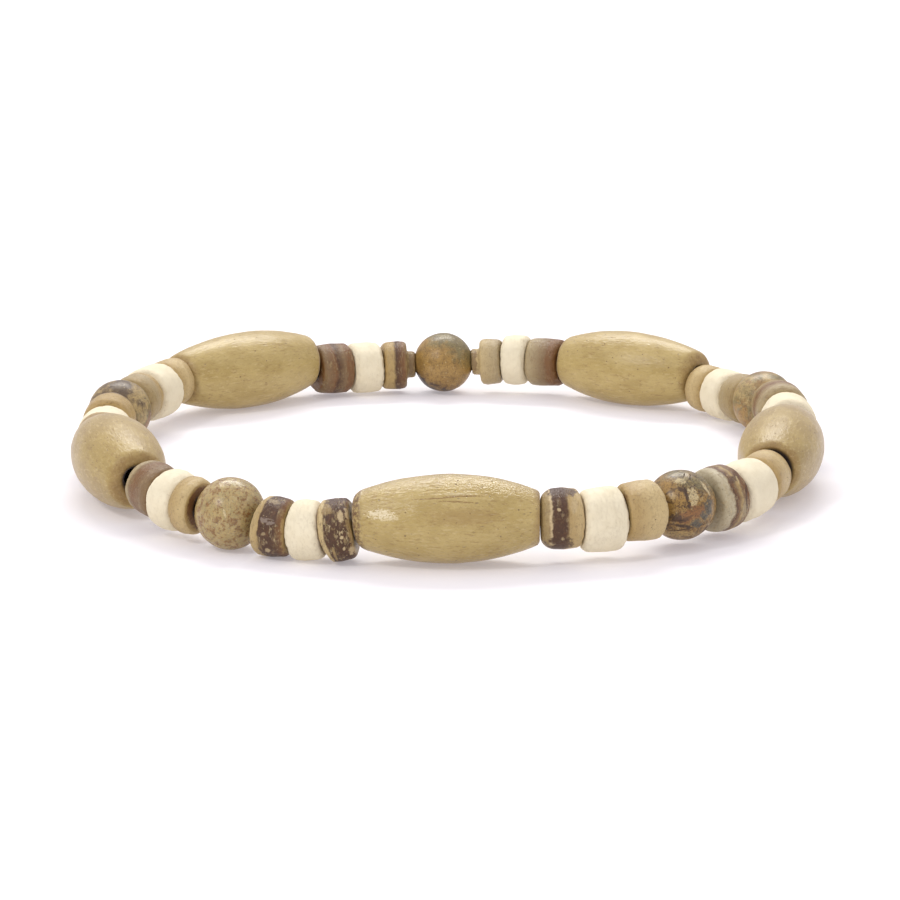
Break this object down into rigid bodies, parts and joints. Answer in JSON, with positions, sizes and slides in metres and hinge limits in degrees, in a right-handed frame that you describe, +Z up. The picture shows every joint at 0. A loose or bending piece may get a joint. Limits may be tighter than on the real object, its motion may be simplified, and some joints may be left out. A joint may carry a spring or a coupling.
{
  "type": "beaded bracelet",
  "caption": "Stretch bracelet of wooden olives, round mottled stones, coconut shell discs and cream discs on one elastic thread.",
  "frame": {"origin": "on the surface the bracelet lies on, under the middle of its outer sides", "axes": "+Z up out of the plane of the ring, the first olive lies towards -Y, +X to its right as the picture shows it"},
  "size_m": [0.069, 0.0706, 0.0077],
  "materials": {
    "olive_wood": "satin, fine straight grain",
    "mottled_stone": "polished stone, mottled ochre, brown and grey",
    "coconut_tan": "smooth coconut shell, clouded tan",
    "coconut_brown": "smooth coconut shell, tan and brown bands",
    "coconut_dark": "smooth coconut shell, dark brown with pale specks",
    "cream_wood": "matte, bleached",
    "elastic": "matte"
  },
  "bodies": {
    "root": {"olive_1": "olive_wood", "coco_disc_1": "coconut_brown", "cream_disc_1": "cream_wood", "coco_disc_2": "coconut_tan", "stone_1": "mottled_stone", "coco_disc_3": "coconut_brown", "cream_disc_2": "cream_wood", "coco_disc_4": "coconut_tan", "olive_2": "olive_wood", "coco_disc_5": "coconut_dark", "cream_disc_3": "cream_wood", "coco_disc_6": "coconut_tan", "stone_2": "mottled_stone", "coco_disc_7": "coconut_tan", "cream_disc_4": "cream_wood", "coco_disc_8": "coconut_tan", "olive_3": "olive_wood", "coco_disc_9": "coconut_brown", "cream_disc_5": "cream_wood", "coco_disc_10": "coconut_tan", "stone_3": "mottled_stone", "coco_disc_11": "coconut_dark", "cream_disc_6": "cream_wood", "coco_disc_12": "coconut_dark", "olive_4": "olive_wood", "coco_disc_13": "coconut_tan", "cream_disc_7": "cream_wood", "coco_disc_14": "coconut_tan", "stone_4": "mottled_stone", "coco_disc_15": "coconut_tan", "cream_disc_8": "cream_wood", "coco_disc_16": "coconut_brown", "olive_5": "olive_wood", "coco_disc_17": "coconut_dark", "cream_disc_9": "cream_wood", "coco_disc_18": "coconut_tan", "stone_5": "mottled_stone", "coco_disc_19": "coconut_dark", "cream_disc_10": "cream_wood", "coco_disc_20": "coconut_dark", "elastic_thread": "elastic"}
  },
  "joints": []
}
